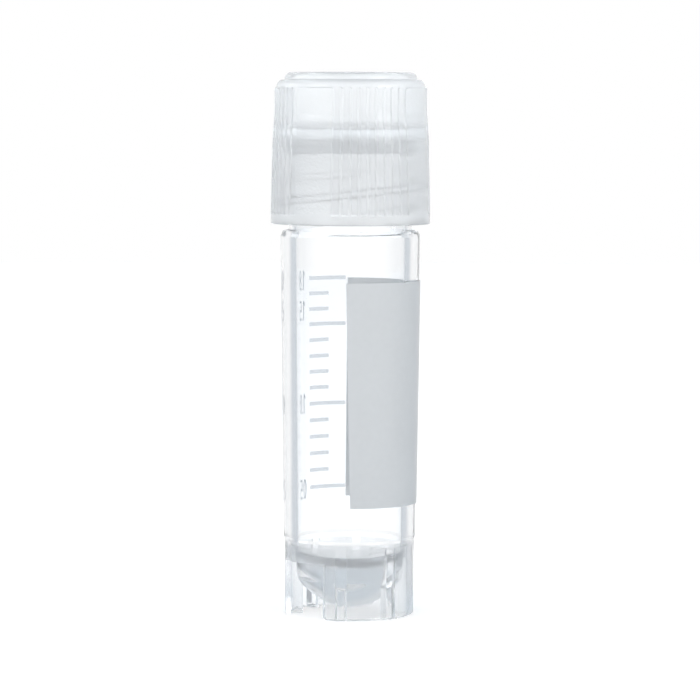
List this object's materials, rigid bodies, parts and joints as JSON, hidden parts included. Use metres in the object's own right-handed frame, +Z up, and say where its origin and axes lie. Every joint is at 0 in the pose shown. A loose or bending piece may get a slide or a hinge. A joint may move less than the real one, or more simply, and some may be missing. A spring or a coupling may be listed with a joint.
{
  "type": "cryovial",
  "caption": "Self-standing cryogenic tube with a conical, round-tipped bore bottom, a screw cap outside its neck, a seal ring, a writing patch and volume graduations.",
  "frame": {"origin": "centre of the foot's resting plane, on the tube's axis", "axes": "+Z up along the tube's axis to the cap, -Y towards the viewer who sees the writing patch's front edge, +X to that viewer's right"},
  "size_m": [0.0142, 0.0142, 0.0484],
  "materials": {
    "clear_polypropylene": "clear, glossy",
    "natural_polypropylene": "milky, translucent, lightly textured",
    "silicone": "matt, translucent white",
    "white_ink": "matt printed film",
    "scale_ink": "matt printed film"
  },
  "bodies": {
    "tube": {"vial": "clear_polypropylene", "writing_patch": "white_ink", "graduation_marks": "scale_ink", "graduation_numbers": "scale_ink"},
    "seal": {"gasket": "silicone"},
    "cap": {"screw_cap": "natural_polypropylene"}
  },
  "joints": [
    {"name": "cap_lift", "type": "slide", "parent": "tube", "child": "seal", "axis": [0, 0, 1], "range_m": [0, 0.0121]},
    {"name": "cap_turn", "type": "hinge", "parent": "seal", "child": "cap", "pos_m": [0, 0, 0.0415], "axis": [0, 0, 1], "range_deg": [0, 1150]}
  ],
  "couplings": [
    {"joint": "cap_turn", "follows": "cap_lift", "rad_per_m": 1653.5}
  ]
}
